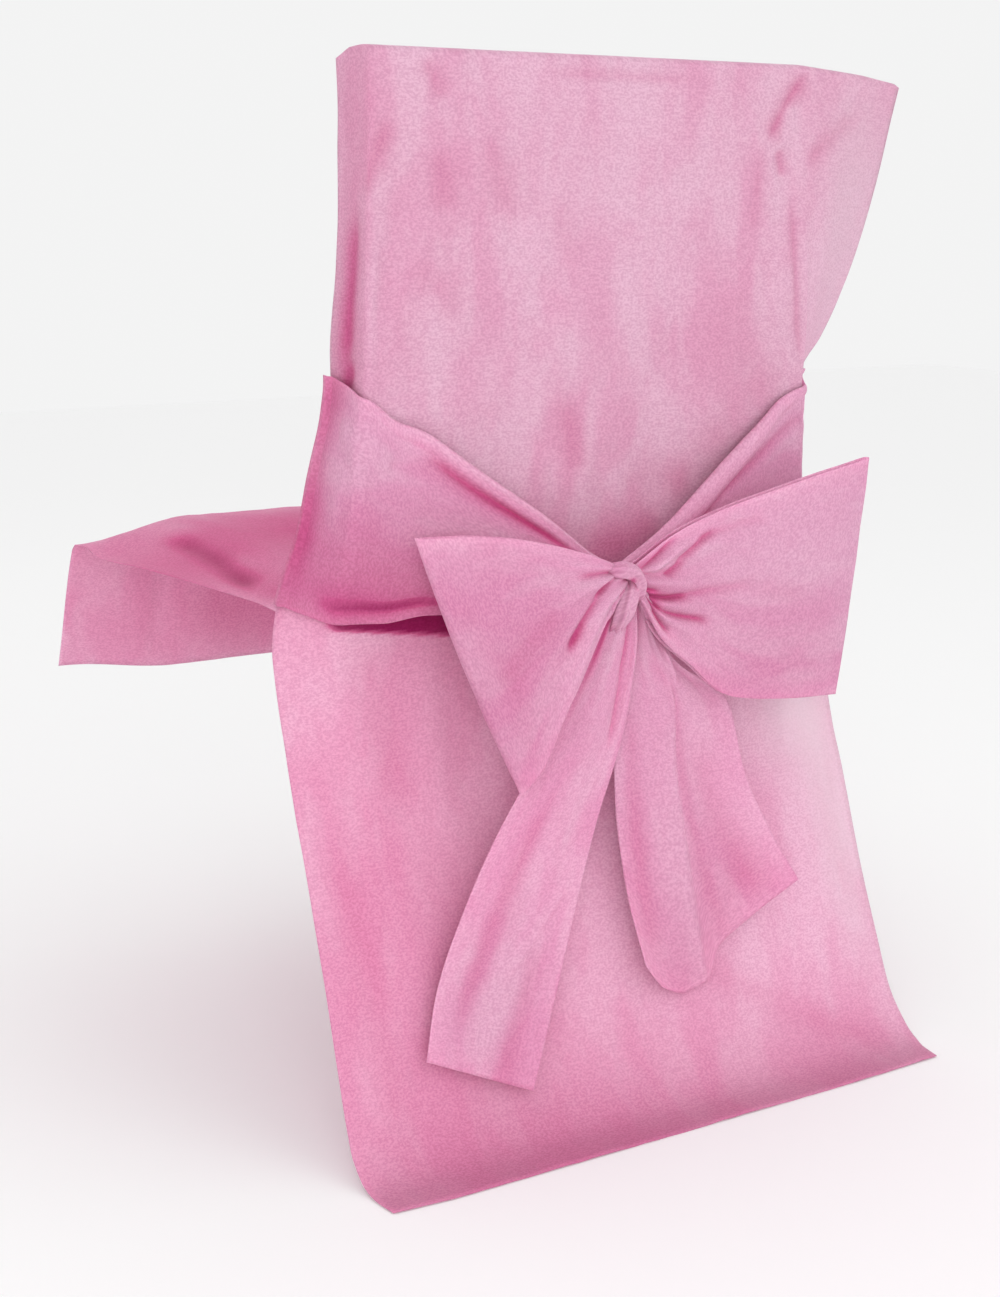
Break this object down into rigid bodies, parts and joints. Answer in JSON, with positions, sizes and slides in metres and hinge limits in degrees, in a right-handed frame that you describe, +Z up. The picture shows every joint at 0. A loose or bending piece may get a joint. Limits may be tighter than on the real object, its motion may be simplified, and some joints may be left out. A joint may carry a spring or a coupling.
{
  "type": "chair cover with sash",
  "caption": "One-piece throw-over cover for a banquet chair, with a wide sash tied in a bow behind the backrest.",
  "frame": {"origin": "middle of the underside of the cover's top, where the top rail of the chair carries it", "axes": "+Z up, +Y to the back of the chair, where the bow is, and +X to the left of someone who looks at the bow"},
  "size_m": [0.6471, 0.613, 0.8695],
  "materials": {
    "cover_cloth": "matt spunbonded cloth, a little sheer",
    "sash_cloth": "matt spunbonded cloth, a little sheer"
  },
  "bodies": {
    "root": {"cover": "cover_cloth", "sash_left": "sash_cloth", "sash_right": "sash_cloth", "bow_knot": "sash_cloth", "bow_loop_left": "sash_cloth", "bow_loop_right": "sash_cloth", "sash_tail_left": "sash_cloth", "sash_tail_right": "sash_cloth"}
  },
  "joints": []
}
